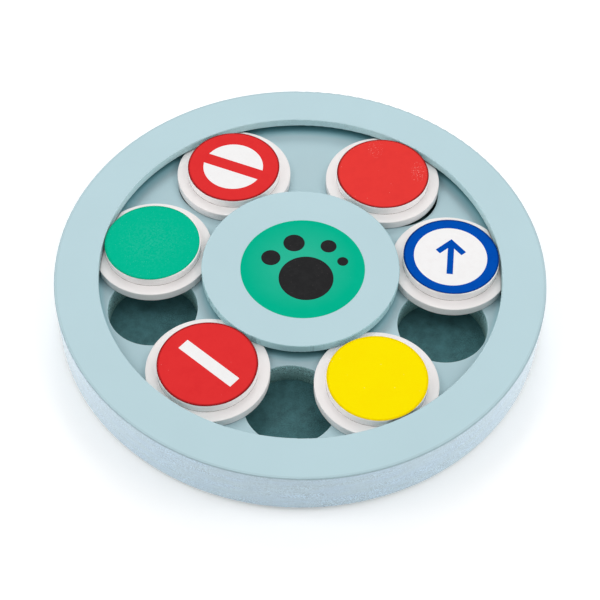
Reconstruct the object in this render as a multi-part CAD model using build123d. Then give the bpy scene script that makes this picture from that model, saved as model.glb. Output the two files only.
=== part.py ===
from build123d import *
from math import acos, cos, degrees, radians, sin
import os

# Dog puzzle feeder: a round board with a circular track. Six stepped pucks slide
# round the track, over five treat wells, and can't be lifted out of it.
# Millimetres, +Z up. The origin is the middle of the board, on the surface it stands on.

# Layers of the board, from the feet up
foot_height = 2.0
backing_thickness = 4.0
well_depth = 12.5            # thickness of the board that the wells are bored through
track_depth = 5.5            # height of the slot that holds the pucks' flanges
lip_thickness = 5.0          # top ring, and the hub's top disc beside it

# Plan sizes of the board; the hub fills what the pucks leave in the middle
board_diameter = 250.0
lip_width = 22.25            # from the board's edge to the track

# Treat wells, bored slightly outside the track's middle, round the board from one
# back well to the other, which leaves the widest gap at the back
well_diameter = 45.5
well_circle_diameter = 154.8
well_angles = (-235.3, -164.0, -92.6, -21.2, 49.5)

# Pucks: a wide disc that runs under the lip, with a narrower one glued on it
flange_diameter = 61.0
flange_thickness = 5.0
cap_diameter = 49.5
cap_thickness = 5.0

# Running clearances
slide_gap = 0.2              # under a puck
cap_play = 2.75              # both sides of a cap together, between the lip and the hub
side_gap = 0.3               # beside a cap that leans on the lip or the hub
flange_gap = 0.5             # more room than that, beside the flange in its slot
neighbour_gap = 0.3          # between two flanges pushed together

# Sanded edges
board_rounding = 0.8
lip_rounding = 0.5
well_rounding = 0.5
cap_rounding = 0.6
flange_rounding = 0.4
glue_line_rounding = 0.25    # lower edge of a cap, where it meets its flange

# Rubber feet
foot_count = 4
foot_diameter = 14.0
foot_inset = 17.0            # from the board's edge to a foot's middle
foot_draft = 12.0            # degrees that a foot narrows towards the ground
foot_rounding = 0.4
first_foot_angle = 45.0

# Countersunk screws that hold the hub, driven from below
screw_count = 3
screw_diameter = 3.5
screw_tip_length = 3.0
screw_tip_diameter = 0.9
screw_cover = 1.5            # wood left between a screw's tip and the hub's top
screw_circle_diameter = 50.0
screw_head_diameter = 7.0
screw_recess_width = 1.1
screw_recess_span = 3.6
screw_recess_depth = 1.6
screw_recess_draft = 8.0     # degrees
screw_clearance = 0.1
first_screw_angle = 90.0

# Where the pucks stand, counterclockwise: a lean from -1, against the hub, to 1,
# against the lip, and the puck's share of the track's free length, up to the next puck
first_puck_angle = 6.2
resting_pucks = {
    "blue": (1.0, 3.6),
    "red": (1.0, 15.8),
    "barred": (0.1, 4.2),
    "green": (1.0, 17.3),
    "no_entry": (-1.0, 18.0),
    "yellow": (0.8, 20.2),
}

# Heights of the layers
backing_base = foot_height
well_board_base = backing_base + backing_thickness
track_floor = well_board_base + well_depth
lip_base = track_floor + track_depth
board_top = lip_base + lip_thickness
screw_length = board_top - screw_cover - backing_base

# Circles of the track
lip_opening_diameter = board_diameter - 2 * lip_width
hub_diameter = lip_opening_diameter - 2 * (cap_diameter + cap_play)
track_radius = (lip_opening_diameter + hub_diameter) / 4
lean_reach = cap_play / 2 - side_gap
flange_reach = (flange_diameter - cap_diameter) / 2 + flange_gap
slot_diameter = lip_opening_diameter + 2 * flange_reach
hub_spacer_diameter = hub_diameter - 2 * flange_reach


def polar_place(radius, angle, height=0.0):
    return Pos(radius * cos(radians(angle)), radius * sin(radians(angle)), height)


def round_edges(body, z_group, radius, by_size=None):
    """Rounds the edges of the lowest (0) or highest (-1) level, or the shortest or longest of them."""
    level = body.edges().group_by(Axis.Z)[z_group]
    if by_size is not None:
        level = level.group_by(SortBy.LENGTH)[by_size]
    return fillet(level, radius)


def disc(diameter, thickness, base):
    return Pos(0, 0, base) * extrude(Circle(diameter / 2), thickness)


def ring(outer_diameter, inner_diameter, thickness, base):
    return Pos(0, 0, base) * extrude(Circle(outer_diameter / 2) - Circle(inner_diameter / 2), thickness)


def screw_places(height):
    return [
        polar_place(screw_circle_diameter / 2, first_screw_angle + i * 360 / screw_count, height)
        for i in range(screw_count)
    ]


def screw_profile(clearance, shank_length):
    """Half section of a countersunk screw that stands on its head, from its axis outwards."""
    head = screw_head_diameter / 2 + clearance
    shank = screw_diameter / 2 + clearance
    neck_height = head - shank
    return Plane.XZ * make_face(Polyline(
        (0, 0), (head, 0), (shank, neck_height), (shank, shank_length), (0, shank_length), close=True,
    ))


def screw():
    shank_end = screw_length - screw_tip_length
    body = revolve(screw_profile(0, shank_end), Axis.Z)
    body += Pos(0, 0, shank_end + screw_tip_length / 2) * Cone(
        screw_diameter / 2, screw_tip_diameter / 2, screw_tip_length)
    slot = Rectangle(screw_recess_span, screw_recess_width)
    cross = slot + Rot(0, 0, 90) * slot
    return body - extrude(cross, screw_recess_depth, taper=screw_recess_draft)


def backing_panel():
    body = round_edges(disc(board_diameter, backing_thickness, backing_base), 0, board_rounding)
    hole = revolve(screw_profile(screw_clearance, backing_thickness + screw_clearance), Axis.Z)
    for place in screw_places(backing_base):
        body -= place * hole
    return body


def well_board():
    body = disc(board_diameter, well_depth, well_board_base)
    for angle in well_angles:
        body -= polar_place(well_circle_diameter / 2, angle, well_board_base) * extrude(
            Circle(well_diameter / 2), well_depth)
    body = round_edges(body, -1, well_rounding, by_size=0)
    for place in screw_places(well_board_base):
        body -= place * extrude(Circle(screw_diameter / 2 + screw_clearance), well_depth)
    return body


def track_ring():
    return ring(board_diameter, slot_diameter, track_depth, track_floor)


def lip_ring():
    body = ring(board_diameter, lip_opening_diameter, lip_thickness, lip_base)
    body = round_edges(body, -1, board_rounding, by_size=-1)
    body = round_edges(body, -1, lip_rounding, by_size=0)
    return round_edges(body, 0, lip_rounding, by_size=0)


def hub_spacer():
    body = disc(hub_spacer_diameter, track_depth, track_floor)
    for place in screw_places(track_floor):
        body -= place * extrude(Circle(screw_diameter / 2), track_depth)
    return body


def hub_disc():
    body = round_edges(disc(hub_diameter, lip_thickness, lip_base), -1, lip_rounding)
    body = round_edges(body, 0, lip_rounding)
    for place in screw_places(backing_base):
        body -= place * extrude(Circle(screw_diameter / 2), screw_length)
    return body


def rubber_foot():
    pad = extrude(Circle(foot_diameter / 2), foot_height, taper=foot_draft)
    pad = Pos(0, 0, foot_height) * mirror(pad, Plane.XY)
    return round_edges(pad, 0, foot_rounding)


def puck_base():
    body = disc(flange_diameter, flange_thickness, track_floor + slide_gap)
    return fillet(body.edges().filter_by(GeomType.CIRCLE), flange_rounding)


def puck_cap():
    body = disc(cap_diameter, cap_thickness, track_floor + slide_gap + flange_thickness)
    body = round_edges(body, -1, cap_rounding)
    return round_edges(body, 0, glue_line_rounding)


def contact_angle(radius_a, radius_b):
    """Angle at the board's middle between two pucks that are pushed together."""
    distance = flange_diameter + neighbour_gap
    return degrees(acos((radius_a**2 + radius_b**2 - distance**2) / (2 * radius_a * radius_b)))


def puck_places():
    """Radius, angle and free travel back and forth of each puck, by name."""
    names = list(resting_pucks)
    radii = {name: track_radius + resting_pucks[name][0] * lean_reach for name in names}
    contacts = {
        name: contact_angle(radii[name], radii[following])
        for name, following in zip(names, names[1:] + names[:1])
    }
    free_length = 360 - sum(contacts.values())
    all_shares = sum(share for _, share in resting_pucks.values())
    places = {}
    angle = first_puck_angle
    travel_back = free_length * resting_pucks[names[-1]][1] / all_shares
    for name in names:
        travel_ahead = free_length * resting_pucks[name][1] / all_shares
        places[name] = (radii[name], angle, travel_back, travel_ahead)
        angle += contacts[name] + travel_ahead
        travel_back = travel_ahead
    return places


def build():
    nodes = {
        "backing_panel": backing_panel(),
        "well_board": well_board(),
        "track_ring": track_ring(),
        "lip_ring": lip_ring(),
        "hub_spacer": hub_spacer(),
        "hub_disc": hub_disc(),
        "hub_screws": Compound(children=[place * screw() for place in screw_places(backing_base)]),
    }
    foot_circle_radius = board_diameter / 2 - foot_inset
    for i in range(foot_count):
        angle = first_foot_angle + i * 360 / foot_count
        nodes[f"rubber_foot_{i + 1}"] = polar_place(foot_circle_radius, angle) * rubber_foot()
    for name, (radius, angle, travel_back, travel_ahead) in puck_places().items():
        nodes[f"{name}_puck_base"] = polar_place(radius, angle) * puck_base()
        nodes[f"{name}_puck_cap"] = polar_place(radius, angle) * puck_cap()
        print(f"{name} puck: radius {radius:.3f}, angle {angle:.3f}, "
              f"slides from {-travel_back:.3f} to {travel_ahead:.3f} degrees")
    return nodes


os.makedirs("parts", exist_ok=True)
for node_name, solid in build().items():
    export_step(solid, f"parts/{node_name}.step")
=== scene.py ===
import math

import bmesh
import bpy
from mathutils import Matrix, Vector


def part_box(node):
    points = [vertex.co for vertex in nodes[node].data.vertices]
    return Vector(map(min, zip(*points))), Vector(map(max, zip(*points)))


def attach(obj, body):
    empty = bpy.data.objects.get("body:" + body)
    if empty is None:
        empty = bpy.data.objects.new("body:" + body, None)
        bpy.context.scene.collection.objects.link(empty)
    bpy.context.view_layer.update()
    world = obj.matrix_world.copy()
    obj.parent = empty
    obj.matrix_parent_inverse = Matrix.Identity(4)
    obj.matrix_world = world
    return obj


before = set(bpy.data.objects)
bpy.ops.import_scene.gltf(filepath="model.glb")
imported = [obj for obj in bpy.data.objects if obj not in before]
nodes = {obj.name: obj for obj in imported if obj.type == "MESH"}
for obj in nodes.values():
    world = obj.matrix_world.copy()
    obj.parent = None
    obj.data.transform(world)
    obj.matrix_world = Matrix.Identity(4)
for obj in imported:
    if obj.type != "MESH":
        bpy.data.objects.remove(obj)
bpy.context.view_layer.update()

# Dog puzzle feeder: paint, prints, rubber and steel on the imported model.
# Metres, +Z up, the origin on the floor under the board's middle.

mm = 0.001
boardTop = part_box("hub_disc")[1].z
print("frame loaded:", len(nodes), "nodes")


# helpers for shader nodes

def srgb(code):
    # a colour code such as #BCD7DE as the linear colour that a shader takes
    parts = [int(code[i:i + 2], 16) / 255 for i in (1, 3, 5)]
    return [p / 12.92 if p <= 0.04045 else ((p + 0.055) / 1.055) ** 2.4 for p in parts] + [1]


def feed(tree, value, socket):
    # the value is another node's output, a colour code, or what the socket itself takes
    if isinstance(value, bpy.types.NodeSocket):
        tree.links.new(value, socket)
    elif isinstance(value, str):
        socket.default_value = srgb(value)
    else:
        socket.default_value = value


def addNode(tree, kind, inputs=None, **settings):
    made = tree.nodes.new(kind)
    for name, value in settings.items():
        setattr(made, name, value)
    for name, value in (inputs or {}).items():
        feed(tree, value, made.inputs[name])
    return made


def calculate(tree, operation, *values):
    made = addNode(tree, "ShaderNodeMath", operation=operation)
    for socket, value in zip(made.inputs, values):
        feed(tree, value, socket)
    return made.outputs[0]


def multiply(tree, product, *factors):
    for factor in factors:
        product = calculate(tree, "MULTIPLY", product, factor)
    return product


def remap(tree, value, fromLow, fromHigh, toLow=0.0, toHigh=1.0):
    ends = {"From Min": fromLow, "From Max": fromHigh, "To Min": toLow, "To Max": toHigh}
    return addNode(tree, "ShaderNodeMapRange", {"Value": value, **ends}).outputs["Result"]


def mixColors(tree, share, first, second):
    # inputs 6 and 7 and output 2 are the ones that carry colours
    made = addNode(tree, "ShaderNodeMix", {0: share, 6: first, 7: second}, data_type="RGBA")
    return made.outputs[2]


def onPiece(tree):
    return addNode(tree, "ShaderNodeTexCoord").outputs["Object"]


def stretch(tree, place, scale):
    return addNode(tree, "ShaderNodeMapping", {"Vector": place, "Scale": scale}).outputs[0]


def vectorMath(tree, operation, *vectors):
    inputs = dict(enumerate(vectors))
    return addNode(tree, "ShaderNodeVectorMath", inputs, operation=operation).outputs


def shade(tree, color, tone):
    inputs = {0: color, "Scale": tone}
    return addNode(tree, "ShaderNodeVectorMath", inputs, operation="SCALE").outputs[0]


def heightOf(tree, vector):
    return addNode(tree, "ShaderNodeSeparateXYZ", {0: vector}).outputs["Z"]


def addNoise(tree, place, scale, detail, roughness=0.5):
    inputs = {"Vector": place, "Scale": scale, "Detail": detail, "Roughness": roughness}
    return addNode(tree, "ShaderNodeTexNoise", inputs).outputs["Fac"]


def startGroup(name, inputs, outputs):
    group = bpy.data.node_groups.new(name, "ShaderNodeTree")
    for label, (kind, value) in inputs.items():
        made = group.interface.new_socket(label, in_out="INPUT", socket_type="NodeSocket" + kind)
        made.default_value = value
    for label, kind in outputs.items():
        group.interface.new_socket(label, in_out="OUTPUT", socket_type="NodeSocket" + kind)
    given = group.nodes.new("NodeGroupInput").outputs
    out = group.nodes.new("NodeGroupOutput").inputs
    return group, given, out


def useGroup(tree, group, inputs=None):
    made = addNode(tree, "ShaderNodeGroup", node_tree=group)
    for name, value in (inputs or {}).items():
        feed(tree, value, made.inputs[name])
    return made.outputs


def startMaterial(name, gloss):
    material = bpy.data.materials.new(name)
    material.use_nodes = True
    tree = material.node_tree
    tree.nodes.clear()
    shader = addNode(tree, "ShaderNodeBsdfPrincipled")
    shader.inputs["Specular IOR Level"].default_value = gloss
    output = addNode(tree, "ShaderNodeOutputMaterial")
    tree.links.new(shader.outputs[0], output.inputs["Surface"])
    return material, tree, shader.inputs


def addBump(tree, shader, height, depth):
    bump = addNode(tree, "ShaderNodeBump", {"Height": height, "Distance": depth, "Strength": 1.0})
    tree.links.new(bump.outputs[0], shader["Normal"])


# effects that several finishes share
# A noise's scale is in grains per metre. A spread gives the noise values at which an effect
# is at its lowest and at its highest.

filmNoise = {
    "cloudScale": 28.0,
    "sheenScale": 95.0,
    "spread": (0.3, 0.7),
    "peelScale": 1300.0,
}


def makePaintFilm():
    # a sprayed coat: cloudy tone, orange peel, uneven sheen
    look = filmNoise
    group, given, out = startGroup(
        "paintFilm",
        {"Color": ("Color", (1, 1, 1, 1)), "Clouds": ("Float", 0.02),
         "Sheen Low": ("Float", 0.5), "Sheen High": ("Float", 0.62)},
        {"Color": "Color", "Roughness": "Float", "Peel": "Float"})
    place = onPiece(group)
    clouds = addNoise(group, place, look["cloudScale"], detail=3.0)
    low = calculate(group, "SUBTRACT", 1.0, given["Clouds"])
    high = calculate(group, "ADD", 1.0, given["Clouds"])
    tone = remap(group, clouds, *look["spread"], low, high)
    feed(group, shade(group, given["Color"], tone), out["Color"])
    sheen = addNoise(group, place, look["sheenScale"], detail=2.0)
    rough = remap(group, sheen, *look["spread"], given["Sheen Low"], given["Sheen High"])
    feed(group, rough, out["Roughness"])
    feed(group, addNoise(group, place, look["peelScale"], detail=1.5), out["Peel"])
    return group


fibreNoise = {
    "flatten": (1.0, 1.0, 5.0),     # layers of fibre lie flat
    "layerScale": 170.0,
    "layerRoughness": 0.65,
    "layerSpread": (0.3, 0.7),
    "layerHeight": 0.6,             # of a layer, where a grain's is 1
    "grainScale": 1500.0,
    "grainSpread": (0.4, 0.6),
    "patchScale": 45.0,             # patches with fewer pits and with more
    "patchSpread": (0.4, 0.65),
    "patchPits": (0.3, 1.5),
    "upright": (1.0, 1.0, 0.06),    # a cutter's marks stand upright
    "markScale": 420.0,
    "markSpread": (0.64, 0.72),
}


def makeCutFibre():
    # a sawn or bored edge of fibreboard under paint: flat streaks, pits and upright cutter marks
    look = fibreNoise
    group, given, out = startGroup(
        "cutFibre",
        {"Color": ("Color", (1, 1, 1, 1)), "Streaks": ("Float", 0.05), "Pits": ("Float", 0.08)},
        {"Color": "Color", "Height": "Float", "Marks": "Float"})
    place = onPiece(group)
    flattened = stretch(group, place, look["flatten"])
    layers = addNoise(group, flattened, look["layerScale"], detail=5.0,
                      roughness=look["layerRoughness"])
    grains = addNoise(group, place, look["grainScale"], detail=2.0)
    patches = addNoise(group, flattened, look["patchScale"], detail=2.0)
    layerTone = multiply(group, remap(group, layers, *look["layerSpread"], -1.0, 1.0), given["Streaks"])
    crowd = remap(group, patches, *look["patchSpread"], *look["patchPits"])
    pits = multiply(group, crowd, given["Pits"])
    pitTone = multiply(group, remap(group, grains, *look["grainSpread"], 1.0, -1.0), pits)
    tone = calculate(group, "ADD", calculate(group, "ADD", layerTone, pitTone), 1.0)
    feed(group, shade(group, given["Color"], tone), out["Color"])
    raised = multiply(group, layers, look["layerHeight"])
    feed(group, calculate(group, "SUBTRACT", raised, grains), out["Height"])
    marks = addNoise(group, stretch(group, place, look["upright"]), look["markScale"], detail=1.0)
    feed(group, remap(group, marks, *look["markSpread"]), out["Marks"])
    return group


fleckNoise = {
    "patchScale": 70.0,             # patches with fewer flecks and with more
    "patchSpread": (0.4, 0.65),
    "patchFlecks": (0.1, 2.0),
    "core": 0.5,                    # share of a fleck's reach within which it is at its full
}


def makeFlecks():
    # dust, nibs or dents: round spots in a few of the cells of a cell pattern
    look = fleckNoise
    group, given, out = startGroup(
        "flecks",
        {"Cells": ("Float", 100.0), "Size": ("Float", 0.1), "Share": ("Float", 0.2)},
        {"Mask": "Float"})
    place = onPiece(group)
    cells = addNode(group, "ShaderNodeTexVoronoi", {"Vector": place, "Scale": given["Cells"]}).outputs
    chance = addNode(group, "ShaderNodeSeparateColor", {"Color": cells["Color"]}).outputs[0]
    patches = addNoise(group, place, look["patchScale"], detail=2.0)
    crowd = remap(group, patches, *look["patchSpread"], *look["patchFlecks"])
    chosen = calculate(group, "LESS_THAN", chance, multiply(group, given["Share"], crowd))
    core = multiply(group, given["Size"], look["core"])
    spot = remap(group, cells["Distance"], core, given["Size"], 1.0, 0.0)
    feed(group, multiply(group, spot, chosen), out["Mask"])
    return group


slopes = {
    # how level a surface is: 0 upright, 1 lying flat
    "wall": (0.2, 0.7),             # fully a wall, and no wall any more
    "arrisRise": (0.05, 0.35),      # no rounding yet, and fully a rounding
    "arrisFall": (0.82, 0.97),      # still fully a rounding, and none any more
}


def makeFacing():
    # masks for upright walls and for rounded edges, from the surface's slope
    group, _, out = startGroup("facing", {}, {"Walls": "Float", "Arris": "Float"})
    normal = addNode(group, "ShaderNodeNewGeometry").outputs["Normal"]
    level = calculate(group, "ABSOLUTE", heightOf(group, normal))
    feed(group, remap(group, level, *slopes["wall"], 1.0, 0.0), out["Walls"])
    rise = remap(group, level, *slopes["arrisRise"])
    fall = remap(group, level, *slopes["arrisFall"], 1.0, 0.0)
    feed(group, multiply(group, rise, fall), out["Arris"])
    return group


def makePlace():
    # where a point is on the board: its distance from the middle, and its height
    group, _, out = startGroup("place", {}, {"Radius": "Float", "Height": "Float"})
    place = onPiece(group)
    flat = vectorMath(group, "MULTIPLY", place, (1, 1, 0))["Vector"]
    feed(group, vectorMath(group, "LENGTH", flat)["Value"], out["Radius"])
    feed(group, heightOf(group, place), out["Height"])
    return group


paintFilm = makePaintFilm()
cutFibre = makeCutFibre()
flecks = makeFlecks()
facing = makeFacing()
placeOnBoard = makePlace()
print("shared effects ready")


# board: pale blue paint, smooth on faces, fibrous on cut edges

boardFinish = {
    "color": "#BCD7DE",
    "sideColor": "#B9D0DC",     # the outer side is a cooler tone, and a bluer one in drifts
    "sideSecond": "#B8D0E0",
    "driftFlatten": (1.0, 1.0, 4.0),
    "driftScale": 60.0,
    "driftSpread": (0.4, 0.6),
    "lipWallShade": "#B4D2D6",       # painted shade on the lip's inner wall and, darker, on the hub's edge
    "hubWallShade": "#9FC4C9",
    "slotShadeColor": "#95D7E2",   # painted shade in the corners under the lip and the hub, a more saturated tone
    "deepShadeColor": "#487377",     # darker painted shade on the wells' floors and deep in the slots
    "boredTop": "#B4DFE2",      # a well's wall, from its rim down to its foot, darker downwards as painted shade
    "boredFootShade": "#749995",
    "rimShare": 0.15,           # how far the wall's colour at the rim has already turned to the foot's
    "gloss": 0.1,
    "coatRoughness": 0.15,      # of the clear coat on the side
    "clouds": 0.012,
    "peelDepth": 0.006 * mm,
    "fibreDepth": 0.12 * mm,
    "dents": {"Cells": 75.0, "Size": 0.045, "Share": 0.2},
    "dentDepth": 0.08 * mm,
    "dentShade": 0.12,
    "dentColor": (0.12, 0.2, 0.24, 1),
    "sideFibre": (0.08, 0.15),  # how strong the fibre's streaks and pits are
    "wallFibre": (0.05, 0.05),
    "wellFibre": (0.10, 0.33),
    "floorFibre": (0.25, 0.14),
    "rimRange": (1.5 * mm, 0.6 * mm),   # how far below a well's rim its fibre is at its full, and gone
    "edgeShade": 0.40,          # how much darker the rounding of the outer edge is
    "edgeFade": 0.09,           # how much darker the side is right under it
    "edgeBand": 1.6 * mm,       # and how far down that reaches
    "edgeShadeColor": (0.08, 0.12, 0.14, 1),
    "millMarks": 0.35,          # how much darker the cutter's marks on the hub's edge are
    "markColor": (0.05, 0.1, 0.12, 1),
    # plan distances from the middle, under the hub and under the lip, from where an effect starts
    # to where it is at its full
    "slotShade": ((53.0 * mm, 47.5 * mm), (100.0 * mm, 106.0 * mm)),
    "slotDeepShade": ((50.3 * mm, 46.2 * mm), (103.8 * mm, 109.0 * mm)),
    "hubEdge": 50.6 * mm,
    "slotWall": 110 * mm,
    "sideReach": 123.5 * mm,
    "wellFloor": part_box("backing_panel")[1].z,
    "trackFloor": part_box("well_board")[1].z,
    "slotTop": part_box("lip_ring")[0].z,
    "heightMargin": 0.1 * mm,
}


def findRegions(tree, radius, height):
    # masks for the outer side, the hub, what lies above the slots, the wells and the slots
    look = boardFinish
    margin = look["heightMargin"]
    aboveFloor = calculate(tree, "GREATER_THAN", height, look["wellFloor"] - margin)
    inside = calculate(tree, "LESS_THAN", radius, look["slotWall"])
    belowTrack = calculate(tree, "LESS_THAN", height, look["trackFloor"] - margin)
    belowLip = calculate(tree, "LESS_THAN", height, look["slotTop"] + margin)
    return {
        "side": calculate(tree, "GREATER_THAN", radius, look["sideReach"]),
        "hub": calculate(tree, "LESS_THAN", radius, look["hubEdge"]),
        "upper": calculate(tree, "GREATER_THAN", height, look["slotTop"]),
        "wells": multiply(tree, aboveFloor, inside, belowTrack),
        "slots": multiply(tree, aboveFloor, inside, belowLip),
    }


def reachIntoSlots(tree, radius, region, hubRange, lipRange):
    # a mask that grows under the hub and under the lip
    deepest = calculate(tree, "MAXIMUM", remap(tree, radius, *hubRange), remap(tree, radius, *lipRange))
    return multiply(tree, region["slots"], deepest)


def faceColorWithShade(tree, radius, region, depth):
    # colour of the flat faces, with painted shade by the slots and darker painted shade deep in the
    # wells and slots
    look = boardFinish
    # painted shade by the slots, and darker painted shade in the depths
    slotShade = reachIntoSlots(tree, radius, region, *look["slotShade"])
    slotDeepShade = reachIntoSlots(tree, radius, region, *look["slotDeepShade"])
    deepShade = calculate(tree, "MAXIMUM", multiply(tree, depth, region["wells"]), slotDeepShade)
    withSlotShade = mixColors(tree, slotShade, look["color"], look["slotShadeColor"])
    return mixColors(tree, deepShade, withSlotShade, look["deepShadeColor"])


def cutColor(tree, region, depth, faceWithShade):
    # colour of the sawn and bored walls, with painted shade on the lip's and hub's walls and down the
    # wells' walls
    look = boardFinish
    flattened = stretch(tree, onPiece(tree), look["driftFlatten"])
    drifts = addNoise(tree, flattened, look["driftScale"], detail=3.0)
    sideShare = remap(tree, drifts, *look["driftSpread"])
    sideCoat = mixColors(tree, sideShare, look["sideColor"], look["sideSecond"])
    # a well's wall darkens towards its foot as painted shade
    boredShade = mixColors(tree, depth, look["boredTop"], look["boredFootShade"])
    # painted shade on the lip's inner wall and the hub's edge
    upperWallShade = mixColors(tree, region["hub"], look["lipWallShade"], look["hubWallShade"])
    trackWallsWithShade = mixColors(tree, region["upper"], faceWithShade, upperWallShade)
    innerWallsWithShade = mixColors(tree, region["wells"], trackWallsWithShade, boredShade)
    return mixColors(tree, region["side"], innerWallsWithShade, sideCoat)


def addEdgeShade(tree, color, height, arris, region):
    # painted shade on the rounding of the outer edge, and a soft painted shade right under it
    look = boardFinish
    fade = remap(tree, height, boardTop - look["edgeBand"], boardTop, 0.0, look["edgeFade"])
    line = multiply(tree, arris, region["upper"], look["edgeShade"])
    edge = multiply(tree, calculate(tree, "MAXIMUM", fade, line), region["side"])
    return mixColors(tree, edge, color, look["edgeShadeColor"])


def makeBoardPaint():
    look = boardFinish
    material, tree, shader = startMaterial("boardPaint", look["gloss"])
    place = useGroup(tree, placeOnBoard)
    radius, height = place["Radius"], place["Height"]
    face = useGroup(tree, facing)
    region = findRegions(tree, radius, height)
    # how deep in a well a point is: painted shade darkens the wells towards their floors
    depth = remap(tree, height, look["wellFloor"], look["trackFloor"], 1.0, look["rimShare"])
    faceWithShade = faceColorWithShade(tree, radius, region, depth)
    coat = useGroup(tree, paintFilm, {"Color": faceWithShade, "Clouds": look["clouds"]})

    # walls, with the fibre that shows on them
    grown, gone = (look["trackFloor"] - below for below in look["rimRange"])
    bored = multiply(tree, region["wells"], remap(tree, height, grown, gone, 1.0, 0.0))
    cutInputs = {"Color": cutColor(tree, region, depth, faceWithShade)}
    strengths = zip(("Streaks", "Pits"), look["wallFibre"], look["sideFibre"], look["wellFibre"])
    for name, wall, side, well in strengths:
        sawn = remap(tree, region["side"], 0.0, 1.0, wall, side)
        cutInputs[name] = calculate(tree, "MAXIMUM", sawn, multiply(tree, bored, well))
    cut = useGroup(tree, cutFibre, cutInputs)
    marks = multiply(tree, cut["Marks"], region["hub"], look["millMarks"])
    marked = mixColors(tree, marks, cut["Color"], look["markColor"])

    # faces, with dents, and with grain on the wells' floors
    dents = useGroup(tree, flecks, look["dents"])["Mask"]
    smooth = mixColors(tree, multiply(tree, dents, look["dentShade"]), coat["Color"], look["dentColor"])
    floorStreaks, floorPits = look["floorFibre"]
    floorInputs = {"Color": smooth, "Streaks": floorStreaks, "Pits": floorPits}
    grainy = useGroup(tree, cutFibre, floorInputs)["Color"]
    hubArris = multiply(tree, region["hub"], region["upper"], face["Arris"])
    cutShare = calculate(tree, "MAXIMUM", face["Walls"], hubArris)
    painted = mixColors(tree, cutShare, mixColors(tree, region["wells"], smooth, grainy), marked)
    color = addEdgeShade(tree, painted, height, face["Arris"], region)
    feed(tree, color, shader["Base Color"])

    # sheen and relief
    feed(tree, coat["Roughness"], shader["Roughness"])
    feed(tree, multiply(tree, region["side"], face["Walls"]), shader["Coat Weight"])
    shader["Coat Roughness"].default_value = look["coatRoughness"]
    peel = multiply(tree, coat["Peel"], look["peelDepth"] / look["fibreDepth"])
    dips = multiply(tree, dents, look["dentDepth"] / look["fibreDepth"])
    rise = calculate(tree, "ADD", multiply(tree, cut["Height"], face["Walls"]),
                     calculate(tree, "SUBTRACT", peel, dips))
    addBump(tree, shader, rise, look["fibreDepth"])
    return material


# pucks: white paint on fibreboard

puckFinish = {
    "color": "#F5F1F0",
    "gloss": 0.1,
    "clouds": 0.012,
    "streaks": 0.02,
    "pits": 0.022,
    "fibreDepth": 0.05 * mm,
    "peelDepth": 0.006 * mm,
    "lowEdgeShade": 0.75,               # how dark the painted shade along a puck's lower edge is, where it meets the floor
    "lowEdgeShadeHeight": 0.55 * mm,
    "lipShade": 0.65,                # how dark the painted shade is where a puck meets the lip's edge
    "lipShadeRange": (101.9 * mm, 102.7 * mm),   # from the board's middle, where that starts and is full
    "capLipShade": 0.9 * mm,         # how much nearer the middle it starts on a cap
    "puckShadeColor": (0.03, 0.045, 0.05, 1),
}


def makePuckPaint():
    look = puckFinish
    material, tree, shader = startMaterial("puckPaint", look["gloss"])
    coat = useGroup(tree, paintFilm, {"Color": look["color"], "Clouds": look["clouds"]})
    fibre = {"Color": look["color"], "Streaks": look["streaks"], "Pits": look["pits"]}
    cut = useGroup(tree, cutFibre, fibre)
    walls = useGroup(tree, facing)["Walls"]
    painted = mixColors(tree, walls, coat["Color"], cut["Color"])
    place = useGroup(tree, placeOnBoard)
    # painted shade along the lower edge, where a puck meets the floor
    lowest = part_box("red_puck_base")[0].z
    lowEdgeShade = remap(tree, place["Height"], lowest, lowest + look["lowEdgeShadeHeight"], look["lowEdgeShade"], 0.0)
    # painted shade where a puck comes to the lip's edge
    onCap = calculate(tree, "GREATER_THAN", place["Height"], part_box("red_puck_cap")[0].z)
    reach = calculate(tree, "ADD", place["Radius"], multiply(tree, onCap, look["capLipShade"]))
    lipShade = remap(tree, reach, *look["lipShadeRange"], 0.0, look["lipShade"])
    puckShade = calculate(tree, "MAXIMUM", lowEdgeShade, lipShade)
    feed(tree, mixColors(tree, puckShade, painted, look["puckShadeColor"]), shader["Base Color"])
    feed(tree, coat["Roughness"], shader["Roughness"])
    peel = multiply(tree, coat["Peel"], look["peelDepth"] / look["fibreDepth"])
    rise = calculate(tree, "ADD", multiply(tree, cut["Height"], walls), peel)
    addBump(tree, shader, rise, look["fibreDepth"])
    return material


# glue under the caps, which also paints the shade in the gap there, rubber feet and steel screws

plainFinishes = {
    # a dark bead of glue that also paints the shade in the gap under a cap
    "glueAndGapShade": {
        "film": {"Color": "#857F79", "Clouds": 0.25},
        "gloss": 0.3, "metallic": 0.0, "bumpDepth": 0.02 * mm},
    "footRubber": {
        "film": {"Color": "#2B2C2E", "Clouds": 0.12, "Sheen Low": 0.62, "Sheen High": 0.8},
        "dust": {"Cells": 1400.0, "Size": 0.35, "Share": 0.3}, "dustColor": "#77757A", "dustShare": 0.3,
        "gloss": 0.4, "metallic": 0.0, "bumpDepth": 0.03 * mm},
    "screwSteel": {
        "film": {"Color": "#C9C6BE", "Clouds": 0.06, "Sheen Low": 0.22, "Sheen High": 0.42},
        "gloss": 0.5, "metallic": 1.0, "bumpDepth": 0.01 * mm},
}


def makePlainFinish(name, look):
    material, tree, shader = startMaterial(name, look["gloss"])
    coat = useGroup(tree, paintFilm, look["film"])
    color = coat["Color"]
    if "dust" in look:
        dust = useGroup(tree, flecks, look["dust"])["Mask"]
        color = mixColors(tree, multiply(tree, dust, look["dustShare"]), color, look["dustColor"])
    feed(tree, color, shader["Base Color"])
    feed(tree, coat["Roughness"], shader["Roughness"])
    shader["Metallic"].default_value = look["metallic"]
    addBump(tree, shader, coat["Peel"], look["bumpDepth"])
    return material


# inks of the painted faces and signs

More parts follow.
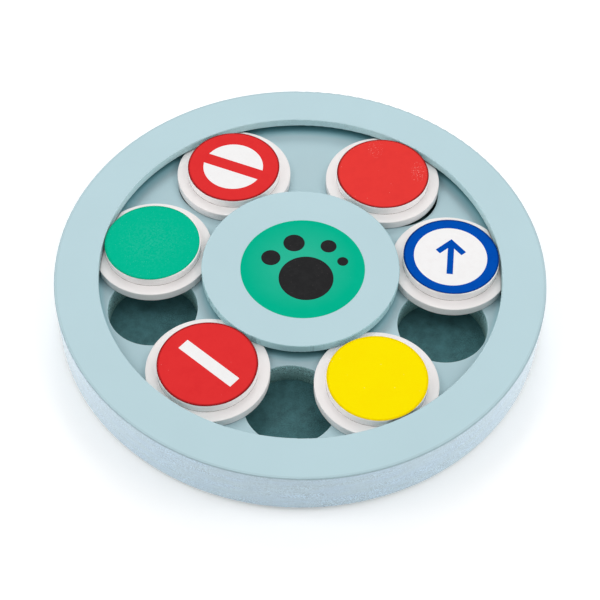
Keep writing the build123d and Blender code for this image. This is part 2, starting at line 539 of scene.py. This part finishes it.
inks = {
    # a second tone in blotches of this noise scale, the tone where a face's paint ends,
    # specks with their share and cells, and the record's slot
    "yellow": {"color": "#FFE800", "second": "#FFE600", "blotches": 120.0, "edge": "#E8C700",
               "fleck": "#FFF7A0", "share": 0.012, "cells": 1100.0, "slot": "yellow_print"},
    "red": {"color": "#E93C38", "second": "#E63A37", "blotches": 120.0, "edge": "#45080C",
            "fleck": "#F2A79F", "share": 0.012, "cells": 1100.0, "slot": "red_print"},
    "signRed": {"color": "#E33334", "second": "#E03032", "blotches": 120.0, "edge": "#650E12",
                "fleck": "#F08F88", "share": 0.006, "cells": 1100.0, "slot": "red_print"},
    "green": {"color": "#00B992", "second": "#0ABC96", "blotches": 850.0, "edge": "#07A27D",
              "fleck": "#3CC8A6", "share": 0.3, "cells": 900.0, "slot": "green_print"},
    "pawGreen": {"color": "#00B48E", "second": "#04B590", "blotches": 120.0, "edge": "#048A68",
                 "fleck": "#3CC8A6", "share": 0.01, "cells": 1100.0, "slot": "green_print"},
    "blue": {"color": "#004FB4", "second": "#004BAE", "blotches": 230.0, "edge": "#011D4A",
             "fleck": "#3A6CC8", "share": 0.03, "cells": 1100.0, "slot": "blue_print"},
    "white": {"color": "#F6F5F5", "second": "#F4F2F2", "blotches": 230.0, "edge": "#D0CECC",
              "fleck": "#DAD8D6", "share": 0.02, "cells": 1100.0, "slot": "white_print"},
    "black": {"color": "#282829", "second": "#2C2C2D", "blotches": 230.0, "edge": "#141414",
              "fleck": "#55504F", "share": 0.06, "cells": 1100.0, "slot": "black_print"},
}
inkLook = {
    "gloss": 0.01,
    "clouds": 0.01,
    "blotchRoughness": 0.7,
    "blotchSpread": (0.45, 0.65),
    "fleckSize": 0.3,
    "fleckStrength": 0.5,
    "edgeStrength": 0.85,
    "middleSpread": (0.42, 0.58),
    "bumpDepth": 0.008 * mm,
}


def middleOf(node):
    return [(low + high) / 2 for low, high in zip(*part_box(node))]


middles = {
    # duller paint round the middle of a green face: how far out it starts to turn, where it is gone,
    # and how much of it lies between its blotches
    "green": {"color": "#20BC9A", "place": middleOf("green_puck_cap"),
              "range": (2 * mm, 20 * mm), "least": 0.0},
    "pawGreen": {"color": "#2CB897", "place": middleOf("hub_disc"),
                 "range": (10 * mm, 29 * mm), "least": 0.9},
}
scuff = {
    # where the plain red face is rubbed: middle, reach and strength of each patch, and its bare dots
    "ink": "red",
    "patches": [((62.0 * mm, 65.9 * mm, 28.7 * mm), 7.5 * mm, 0.11),
                ((39.5 * mm, 82.0 * mm, 28.7 * mm), 6.5 * mm, 0.055)],
    "squeeze": (1.5, 1.0, 1.0),     # the patches are narrower than high
    "dotScale": 1500.0,
    "dotSpread": (0.66, 0.74),
    "dotStrength": 0.6,
    "color": "#F4A79F",
}


def addMiddle(tree, color, look, blotches):
    away = vectorMath(tree, "DISTANCE", onPiece(tree), look["place"])["Value"]
    near = remap(tree, away, *look["range"], 1.0, 0.0)
    between = remap(tree, blotches, *inkLook["middleSpread"], look["least"], 1.0)
    return mixColors(tree, multiply(tree, near, between), color, look["color"])


def addScuff(tree, color):
    place = onPiece(tree)
    dots = addNoise(tree, place, scuff["dotScale"], detail=1.0)
    for middle, reach, strength in scuff["patches"]:
        offset = vectorMath(tree, "SUBTRACT", place, middle)["Vector"]
        squeezed = vectorMath(tree, "MULTIPLY", offset, scuff["squeeze"])["Vector"]
        away = vectorMath(tree, "LENGTH", squeezed)["Value"]
        worn = calculate(tree, "ADD", dots, remap(tree, away, 0.0, reach, strength, 0.0))
        rubbed = remap(tree, worn, *scuff["dotSpread"], 0.0, scuff["dotStrength"])
        within = calculate(tree, "LESS_THAN", away, reach)
        color = mixColors(tree, multiply(tree, rubbed, within), color, scuff["color"])
    return color


def makeInk(name, look):
    material, tree, shader = startMaterial(name + "Ink", inkLook["gloss"])
    blotches = addNoise(tree, onPiece(tree), look["blotches"], detail=4.0,
                        roughness=inkLook["blotchRoughness"])
    blotched = remap(tree, blotches, *inkLook["blotchSpread"])
    color = mixColors(tree, blotched, look["color"], look["second"])
    if name in middles:
        color = addMiddle(tree, color, middles[name], blotches)
    coat = useGroup(tree, paintFilm, {"Color": color, "Clouds": inkLook["clouds"]})
    fleckInputs = {"Cells": look["cells"], "Size": inkLook["fleckSize"], "Share": look["share"]}
    specks = useGroup(tree, flecks, fleckInputs)["Mask"]
    speckled = multiply(tree, specks, inkLook["fleckStrength"])
    color = mixColors(tree, speckled, coat["Color"], look["fleck"])
    if name == scuff["ink"]:
        color = addScuff(tree, color)
    rim = addNode(tree, "ShaderNodeAttribute", attribute_name="rim").outputs["Fac"]
    edge = multiply(tree, rim, inkLook["edgeStrength"])
    feed(tree, mixColors(tree, edge, color, look["edge"]), shader["Base Color"])
    feed(tree, coat["Roughness"], shader["Roughness"])
    addBump(tree, shader, calculate(tree, "ADD", coat["Peel"], specks), inkLook["bumpDepth"])
    return material


boardPaint = makeBoardPaint()
puckPaint = makePuckPaint()
inkMaterials = {name: makeInk(name, look) for name, look in inks.items()}
plainMaterials = {name: makePlainFinish(name, look) for name, look in plainFinishes.items()}

for name, node in nodes.items():
    if name.startswith("rubber_foot"):
        finish = plainMaterials["footRubber"]
    elif name == "hub_screws":
        finish = plainMaterials["screwSteel"]
    elif "_puck_" in name:
        finish = puckPaint
    else:
        finish = boardPaint
    for slot in node.material_slots:
        slot.material = finish
print("finishes on the packed nodes")


# helpers for meshes and objects

pieceMesh = {
    "mergeDistance": 0.0005 * mm,
    "cutDistance": 0.0001 * mm,
    "sharpAngle": 35,           # degrees
}


def keepMesh(bm, name):
    mesh = bpy.data.meshes.new(name)
    bm.to_mesh(mesh)
    bm.free()
    return mesh


def addObject(name, data):
    made = bpy.data.objects.new(name, data)
    bpy.context.scene.collection.objects.link(made)
    return made


def finishPiece(bm, name, body, finish):
    bmesh.ops.remove_doubles(bm, verts=bm.verts, dist=pieceMesh["mergeDistance"])
    bmesh.ops.recalc_face_normals(bm, faces=bm.faces)
    mesh = keepMesh(bm, name)
    mesh.shade_smooth()
    mesh.set_sharp_from_angle(angle=math.radians(pieceMesh["sharpAngle"]))
    mesh.materials.append(finish)
    piece = addObject(name, mesh)
    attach(piece, body)


def finishPrint(bm, name, body, ink):
    finishPiece(bm, name, body, inkMaterials[ink])


def spinRound(bm, section, steps):
    bmesh.ops.spin(bm, geom=section, cent=(0, 0, 0), axis=(0, 0, 1), angle=2 * math.pi,
                   steps=steps, use_merge=True)


def wave(angle, seed):
    # an uneven wave from -1 to 1 round a circle, made of three of different lengths
    turns = ((2, 1.0), (5, 2.3), (11, 4.1))
    return sum(math.sin(count * angle + shift * seed) for count, shift in turns) / len(turns)


def capMiddle(puck, offset=(0, 0)):
    x, y, _ = middleOf(puck + "_puck_cap")
    return x + offset[0], y + offset[1]


def capSize(puck):
    # radius, and the levels of the foot and the top
    low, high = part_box(puck + "_puck_cap")
    return (high.x - low.x) / 2, low.z, high.z


# painted faces, each a film of paint that runs a little down the rounding of its cap

film = {
    "thickness": 0.04 * mm,
    "sink": 0.02 * mm,          # how far a print's underside lies in what carries it
    "segments": 144,
    "edgeRounding": 0.6 * mm,   # of a puck's cap
    "wrapWander": 0.14,         # how uneven the paint's edge is, as a share of how far it runs down
    "wrapSteps": 6,
    "rimWidth": 1.1 * mm,       # over which the paint darkens towards its edge
    "rimStart": 0.8 * mm,       # how far in from the cap's rounding that starts
}
faces = {
    # ink, how many degrees the paint runs down the cap's rounding, and by what share further on
    # one side than on the other, towards which angle
    "blue": ("blue", 40, 0.55, 105),
    "red": ("red", 50, 0.2, 145),
    "barred": ("signRed", 44, 0.2, -130),
    "green": ("green", 38, 0.82, 190),
    "no_entry": ("signRed", 56, 0.0, 0),
    "yellow": ("yellow", 58, 0.25, 40),
}


def spinFaceFilm(bm, flat, roundMiddle, top, wrap):
    # half section of the film, spun round the puck's axis
    outer = film["edgeRounding"] + film["thickness"]
    inner = film["edgeRounding"] - film["sink"]
    turns = [wrap * step / film["wrapSteps"] for step in range(film["wrapSteps"] + 1)]
    section = [(0, top + film["thickness"]), (flat - film["rimStart"], top + film["thickness"])]
    section += [(flat + outer * math.sin(turn), roundMiddle + outer * math.cos(turn)) for turn in turns]
    section += [(flat + inner * math.sin(turn), roundMiddle + inner * math.cos(turn))
                for turn in reversed(turns)]
    section += [(0, top - film["sink"])]
    points = [bm.verts.new((x, 0, z)) for x, z in section]
    edges = [bm.edges.new(pair) for pair in zip(points, points[1:])]
    spinRound(bm, points + edges, film["segments"])


def wearFaceFilm(bm, flat, roundMiddle, lean, towards, seed):
    # marks how near the paint's edge each point is, and makes that edge uneven
    rim = bm.verts.layers.float.new("rim")
    for vert in bm.verts:
        across = math.hypot(vert.co.x, vert.co.y) - flat
        vert[rim] = min(max((across + film["rimStart"]) / film["rimWidth"], 0), 1)
        if across > 0:
            around = math.atan2(vert.co.y, vert.co.x)
            turn = math.atan2(across, vert.co.z - roundMiddle)
            reach = math.hypot(across, vert.co.z - roundMiddle)
            turn *= 1 + film["wrapWander"] * wave(around, seed) + lean * math.cos(around - towards)
            edge = flat + reach * math.sin(turn)
            level = roundMiddle + reach * math.cos(turn)
            vert.co = (edge * math.cos(around), edge * math.sin(around), level)


def makeFace(puck, ink, wrapAngle, lean, towards, seed):
    radius, _, top = capSize(puck)
    flat = radius - film["edgeRounding"]
    roundMiddle = top - film["edgeRounding"]
    bm = bmesh.new()
    spinFaceFilm(bm, flat, roundMiddle, top, math.radians(wrapAngle))
    wearFaceFilm(bm, flat, roundMiddle, lean, math.radians(towards), seed)
    bmesh.ops.translate(bm, verts=bm.verts, vec=(*capMiddle(puck), 0))
    finishPrint(bm, puck + "_face_paint", puck + "_puck", ink)


for seed, (puck, look) in enumerate(faces.items(), 1):
    makeFace(puck, *look, seed)
print("painted faces:", len(faces))


# glue seams, which also paint the shade in the gap under each cap

seam = {
    "inset": 0.05 * mm,         # from a cap's side to the middle of the glue
    "beadRadius": 0.10 * mm,
    "wander": 0.75,             # how much thinner and thicker it gets
    "swells": 3,                # how many times as often as the edge of a painted face does
    "sides": 6,
    "segments": 180,
}


def makeSeam(puck, seed):
    # a thin uneven dark bead round the foot of a cap: glue, and painted shade of the gap between cap
    # and flange
    capRadius, foot, _ = capSize(puck)
    radius = capRadius - seam["inset"]
    upright = Matrix.Rotation(math.pi / 2, 4, "X")
    bm = bmesh.new()
    bmesh.ops.create_circle(bm, segments=seam["sides"], radius=seam["beadRadius"],
                            matrix=Matrix.Translation((radius, 0, 0)) @ upright)
    spinRound(bm, bm.verts[:] + bm.edges[:], seam["segments"])
    for vert in bm.verts:
        around = math.atan2(vert.co.y, vert.co.x)
        swell = 1 + seam["wander"] * wave(seam["swells"] * around, seed)
        out = radius + (math.hypot(vert.co.x, vert.co.y) - radius) * swell
        vert.co = (out * math.cos(around), out * math.sin(around), vert.co.z * swell)
    bmesh.ops.translate(bm, verts=bm.verts, vec=(*capMiddle(puck), foot))
    finishPiece(bm, puck + "_seam", puck + "_puck", plainMaterials["glueAndGapShade"])


for seed, puck in enumerate(faces, 1):
    makeSeam(puck, seed)
print("glue seams made")


# signs and paw print

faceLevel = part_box("red_puck_cap")[1].z + film["thickness"]


def thicken(bm, level):
    # turns flat outlines into a print that stands on a surface at this level
    for face in bm.faces:
        if face.normal.z > 0:
            face.normal_flip()
    raised = bmesh.ops.extrude_face_region(bm, geom=bm.faces[:])
    tops = [item for item in raised["geom"] if isinstance(item, bmesh.types.BMVert)]
    bmesh.ops.translate(bm, verts=bm.verts, vec=(0, 0, level - film["sink"]))
    bmesh.ops.translate(bm, verts=tops, vec=(0, 0, film["thickness"] + film["sink"]))


def placePrint(bm, middle, turn=0.0):
    turned = Matrix.Rotation(math.radians(turn), 3, "Z")
    bmesh.ops.rotate(bm, verts=bm.verts, cent=(0, 0, 0), matrix=turned)
    bmesh.ops.translate(bm, verts=bm.verts, vec=(*middle, 0))


barredSign = {
    "offset": (-0.3 * mm, -0.1 * mm),
    "radius": 16.0 * mm,
    "barWidth": 6.9 * mm,
    "turn": -21.4,
}


def makeBarredSign():
    # two half moons, a disc cut by both sides of the bar
    look = barredSign
    bm = bmesh.new()
    for side in (1, -1):
        half = bmesh.new()
        bmesh.ops.create_circle(half, cap_ends=True, segments=film["segments"], radius=look["radius"])
        bmesh.ops.bisect_plane(half, geom=half.verts[:] + half.edges[:] + half.faces[:],
                               dist=pieceMesh["cutDistance"], plane_no=(0, side, 0),
                               plane_co=(0, side * look["barWidth"] / 2, 0), clear_inner=True)
        mesh = keepMesh(half, "half")
        bm.from_mesh(mesh)
        bpy.data.meshes.remove(mesh)
    thicken(bm, faceLevel)
    placePrint(bm, capMiddle("barred", look["offset"]), look["turn"])
    finishPrint(bm, "barred_sign_print", "barred_puck", "white")


noEntrySign = {
    "offset": (0.6 * mm, 0.1 * mm),
    "length": 34.3 * mm,
    "width": 6.5 * mm,
    "cornerRadius": 0.3 * mm,
    "cornerSegments": 4,
    "turn": -40,
}


def makeNoEntrySign():
    # a square of side 1, stretched to the bar
    look = noEntrySign
    bm = bmesh.new()
    bmesh.ops.create_grid(bm, x_segments=1, y_segments=1, size=0.5)
    bmesh.ops.scale(bm, verts=bm.verts, vec=(look["length"], look["width"], 1))
    bmesh.ops.bevel(bm, geom=bm.verts[:], affect="VERTICES", offset=look["cornerRadius"],
                    segments=look["cornerSegments"], profile=0.5, material=-1)
    thicken(bm, faceLevel)
    placePrint(bm, capMiddle("no_entry", look["offset"]), look["turn"])
    finishPrint(bm, "no_entry_sign_print", "no_entry_puck", "white")


arrowSign = {
    "offset": (-0.4 * mm, -0.2 * mm),
    "fieldRadius": 18.8 * mm,
    "height": 23.0 * mm,
    "stroke": 3.2 * mm,
    "arm": 7.8 * mm,
    "turn": -5,
}


def makeArrowSign():
    # a white field, with a plain arrow on it
    look = arrowSign
    middle = capMiddle("blue", look["offset"])
    bm = bmesh.new()
    bmesh.ops.create_circle(bm, cap_ends=True, segments=film["segments"], radius=look["fieldRadius"])
    thicken(bm, faceLevel)
    placePrint(bm, middle)
    finishPrint(bm, "arrow_field_print", "blue_puck", "white")

    tip, stroke, arm = look["height"] / 2, look["stroke"], look["arm"]
    slant = stroke / math.sqrt(2)
    right = [(arm, tip - arm), (arm - slant, tip - arm - slant),
             (stroke / 2, tip - 2 * slant - stroke / 2), (stroke / 2, -tip)]
    outline = [(0, tip)] + right + [(-x, y) for x, y in reversed(right)]
    bm = bmesh.new()
    bm.faces.new([bm.verts.new((x, y, 0)) for x, y in outline]).normal_update()
    thicken(bm, faceLevel + film["thickness"])
    placePrint(bm, middle, look["turn"])
    finishPrint(bm, "arrow_print", "blue_puck", "blue")


pawPrint = {
    "middle": (1.1 * mm, -1.6 * mm),
    "radius": 31.7 * mm,
    # place and radius of each spot
    "pad": (2.9 * mm, -8.1 * mm, 13.9 * mm),
    "toes": [(-15.3 * mm, 4.7 * mm, 4.9 * mm), (-3.6 * mm, 14.7 * mm, 5.5 * mm),
             (14.2 * mm, 13.0 * mm, 4.1 * mm), (21.5 * mm, 3.2 * mm, 2.8 * mm)],
}


def makePawPrint():
    look = pawPrint
    bm = bmesh.new()
    bmesh.ops.create_circle(bm, cap_ends=True, segments=film["segments"], radius=look["radius"])
    thicken(bm, boardTop)
    placePrint(bm, look["middle"])
    finishPrint(bm, "paw_field_print", "board", "pawGreen")

    bm = bmesh.new()
    for x, y, radius in [look["pad"]] + look["toes"]:
        bmesh.ops.create_circle(bm, cap_ends=True, segments=film["segments"] // 2, radius=radius,
                                matrix=Matrix.Translation((x, y, 0)))
    thicken(bm, boardTop + film["thickness"])
    finishPrint(bm, "paw_print", "board", "black")


makeBarredSign()
makeNoEntrySign()
makeArrowSign()
makePawPrint()
print("signs and paw print made")


# floor, light and camera

floorLook = {
    "radius": 3.0,
    "segments": 96,
    "color": (0.93, 0.93, 0.93, 1),
    "glow": 0.2,                # lifts the lit floor to white for the camera, more so far out
    "farGlow": 0.6,
    "glowRange": (0.25, 1.2),   # distances from the middle between which the one turns into the other
}


def seenByCamera(tree):
    # 1 for what the camera sees, straight or by way of a shiny or clear surface
    ray = addNode(tree, "ShaderNodeLightPath").outputs
    indirect = calculate(tree, "MAXIMUM", ray["Is Glossy Ray"], ray["Is Transmission Ray"])
    return calculate(tree, "MAXIMUM", ray["Is Camera Ray"], indirect)


def makeFloor():
    look = floorLook
    material = bpy.data.materials.new("studioFloor")
    material.use_nodes = True
    tree = material.node_tree
    tree.nodes.clear()
    matt = addNode(tree, "ShaderNodeBsdfDiffuse", {"Color": look["color"]})
    radius = useGroup(tree, placeOnBoard)["Radius"]
    level = remap(tree, radius, *look["glowRange"], look["glow"], look["farGlow"])
    glow = addNode(tree, "ShaderNodeEmission", {"Strength": multiply(tree, seenByCamera(tree), level)})
    both = addNode(tree, "ShaderNodeAddShader", {0: matt.outputs[0], 1: glow.outputs[0]})
    output = addNode(tree, "ShaderNodeOutputMaterial")
    tree.links.new(both.outputs[0], output.inputs["Surface"])

    bm = bmesh.new()
    bmesh.ops.create_circle(bm, cap_ends=True, segments=look["segments"], radius=look["radius"])
    mesh = keepMesh(bm, "studio_floor")
    mesh.materials.append(material)
    floor = addObject("studio_floor", mesh)


ambient = 0.53


def makeWorld():
    # white to the camera, and a dimmer, even light on everything else
    world = bpy.data.worlds.new("studio")
    bpy.context.scene.world = world
    world.use_nodes = True
    tree = world.node_tree
    tree.nodes.clear()
    level = remap(tree, seenByCamera(tree), 0.0, 1.0, ambient, 1.0)
    sky = addNode(tree, "ShaderNodeBackground", {"Color": (1, 1, 1, 1), "Strength": level})
    output = addNode(tree, "ShaderNodeOutputWorld")
    tree.links.new(sky.outputs[0], output.inputs["Surface"])


lampDistance = 1.5
lamps = {
    # azimuth from the camera's side of the board, counterclockwise, and height, both in degrees
    "back": {"azimuth": 180, "height": 50, "size": 0.5, "watts": 3.4},
    "upperLeft": {"azimuth": -90, "height": 60, "size": 0.6, "watts": 3.0},
    "upperRight": {"azimuth": 90, "height": 60, "size": 0.6, "watts": 2.75},
    "left": {"azimuth": -90, "height": 12, "size": 0.5, "watts": 6.2},
    "right": {"azimuth": 90, "height": 12, "size": 0.5, "watts": 6.8},
    "front": {"azimuth": 0, "height": 12, "size": 0.5, "watts": 1.7},
}


def makeLamp(name, look):
    data = bpy.data.lights.new(name, "AREA")
    data.energy = look["watts"]
    data.size = look["size"]
    lamp = addObject(name, data)
    turn = math.radians(look["azimuth"])
    height = math.radians(look["height"])
    plan = math.cos(height)
    towards = Vector((math.sin(turn) * plan, -math.cos(turn) * plan, math.sin(height)))
    lamp.location = towards * lampDistance
    lamp.rotation_euler = towards.to_track_quat("Z", "Y").to_euler()


view = {
    "lens": 87.73,              # mm, on a sensor of this width
    "sensor": 36,
    "clip": (0.01, 20),
    "distance": 745.3 * mm,     # from the middle of the board's top
    "elevation": 51.63,         # degrees, as the next three are
    "pan": 0.006,
    "tilt": 1.351,
    "roll": -1.213,
}


def makeCamera():
    data = bpy.data.cameras.new("camera")
    data.lens = view["lens"]
    data.sensor_width = view["sensor"]
    data.clip_start, data.clip_end = view["clip"]
    camera = addObject("camera", data)
    rise = math.radians(view["elevation"])
    away = view["distance"]
    place = Vector((0, -away * math.cos(rise), boardTop + away * math.sin(rise)))
    camera.matrix_world = (Matrix.Translation(place)
                           @ Matrix.Rotation(math.radians(90) - rise, 4, "X")
                           @ Matrix.Rotation(-math.radians(view["pan"]), 4, "Y")
                           @ Matrix.Rotation(-math.radians(view["tilt"]), 4, "X")
                           @ Matrix.Rotation(-math.radians(view["roll"]), 4, "Z"))
    bpy.context.scene.camera = camera


makeFloor()
makeWorld()
for name, look in lamps.items():
    makeLamp(name, look)
makeCamera()
bpy.context.scene.view_settings.view_transform = "Standard"
print("floor, light and camera set")
